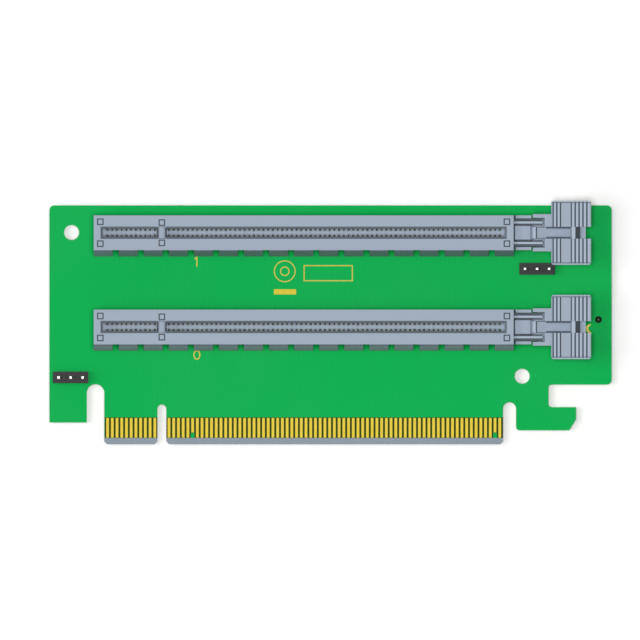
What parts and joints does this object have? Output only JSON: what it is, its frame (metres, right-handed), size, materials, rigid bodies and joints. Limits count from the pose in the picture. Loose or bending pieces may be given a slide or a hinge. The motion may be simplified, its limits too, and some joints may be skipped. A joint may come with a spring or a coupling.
{
  "type": "pcie riser card",
  "caption": "Flat green riser board with a gold edge connector, two long card slots with tilting ejector latches, two pin headers and two mounting holes",
  "frame": {"origin": "under the middle of the whole card, on the plane that the housings' pegs stand on", "axes": "X runs along the edge connector towards the hook, Y runs from the finger edge to the opposite edge, Z rises out of the component side; the card lies on its back"},
  "size_m": [0.119, 0.0516, 0.015],
  "materials": {
    "solder_mask_board": "semi-gloss green solder mask over glass-fibre laminate",
    "gold_plating": "polished gold plating",
    "slot_plastic": "fine-textured blue-grey moulded plastic",
    "contact_metal": "plated spring bronze",
    "header_plastic": "black moulded plastic",
    "pin_metal": "bright tin plating",
    "solder": "matt solder",
    "print_ink": "yellow screen print"
  },
  "bodies": {
    "card": {"circuit_board": "solder_mask_board", "front_edge_fingers": "gold_plating", "back_edge_fingers": "gold_plating", "test_pad": "gold_plating", "slot_1_housing": "slot_plastic", "slot_1_contacts_upper_row": "contact_metal", "slot_1_contacts_lower_row": "contact_metal", "slot_0_housing": "slot_plastic", "slot_0_contacts_upper_row": "contact_metal", "slot_0_contacts_lower_row": "contact_metal", "upper_header_body": "header_plastic", "upper_header_pin_1": "pin_metal", "upper_header_pin_2": "pin_metal", "upper_header_pin_3": "pin_metal", "left_header_body": "header_plastic", "left_header_pin_1": "pin_metal", "left_header_pin_2": "pin_metal", "left_header_pin_3": "pin_metal"},
    "slot_1_latch_body": {"slot_1_latch": "slot_plastic"},
    "slot_0_latch_body": {"slot_0_latch": "slot_plastic"}
  },
  "joints": [
    {"name": "slot_1_latch_hinge", "type": "hinge", "parent": "card", "child": "slot_1_latch_body", "pos_m": [0.04441, 0.01898, 0.00512], "axis": [0, 1, 0], "range_deg": [0, 25]},
    {"name": "slot_0_latch_hinge", "type": "hinge", "parent": "card", "child": "slot_0_latch_body", "pos_m": [0.04441, -0.00097, 0.00512], "axis": [0, 1, 0], "range_deg": [0, 25]}
  ]
}
